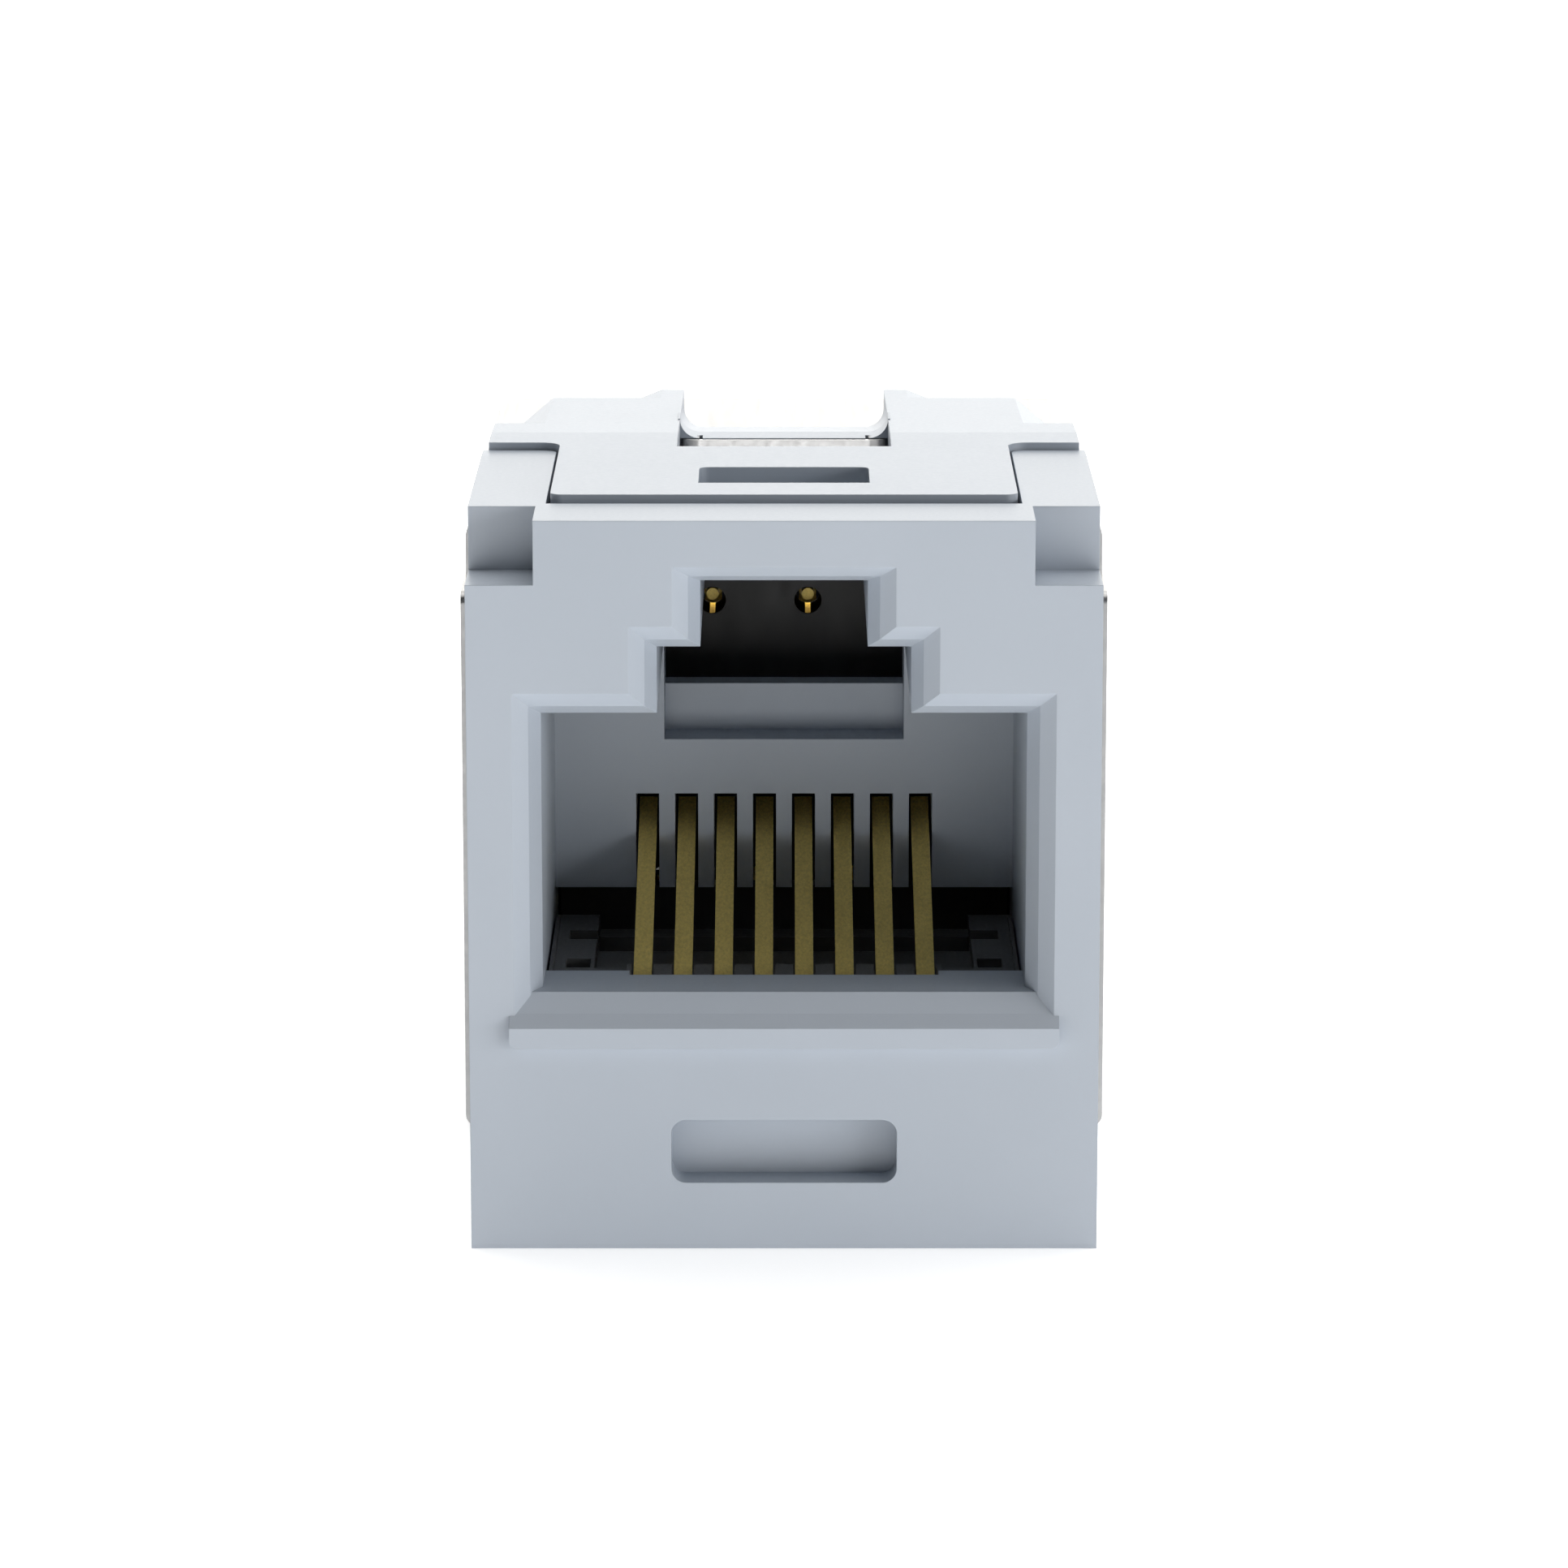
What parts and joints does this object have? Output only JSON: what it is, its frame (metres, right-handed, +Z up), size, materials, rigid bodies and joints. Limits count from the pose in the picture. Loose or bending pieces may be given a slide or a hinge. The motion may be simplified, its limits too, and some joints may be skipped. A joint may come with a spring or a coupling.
{
  "type": "ethernet coupler",
  "caption": "Snap-in ethernet coupler: pale grey plastic body with a modular port at each end, gold spring contacts, a circuit board between and a sheet-metal shield.",
  "frame": {"origin": "centre of the base, halfway between the front ledge and the rear plate", "axes": "+Z up, +X right seen from the front, front port faces -Y, rear port faces +Y"},
  "size_m": [0.0168, 0.031, 0.0185],
  "materials": {
    "body_plastic": null,
    "insert_plastic": null,
    "board_mask": null,
    "hole_plating": null,
    "contact_gold": null,
    "shield_metal": null
  },
  "bodies": {
    "root": {"front_housing": "body_plastic", "latch_frame": "body_plastic", "rear_housing": "body_plastic", "front_contact_carrier": "insert_plastic", "rear_contact_carrier": "insert_plastic", "circuit_board": "board_mask", "front_contact_1": "contact_gold", "front_contact_2": "contact_gold", "front_contact_3": "contact_gold", "front_contact_4": "contact_gold", "front_contact_5": "contact_gold", "front_contact_6": "contact_gold", "front_contact_7": "contact_gold", "front_contact_8": "contact_gold", "rear_contact_1": "contact_gold", "rear_contact_2": "contact_gold", "rear_contact_3": "contact_gold", "rear_contact_4": "contact_gold", "rear_contact_5": "contact_gold", "rear_contact_6": "contact_gold", "rear_contact_7": "contact_gold", "rear_contact_8": "contact_gold", "shield_shell": "shield_metal", "shield_cover": "shield_metal"}
  },
  "joints": []
}
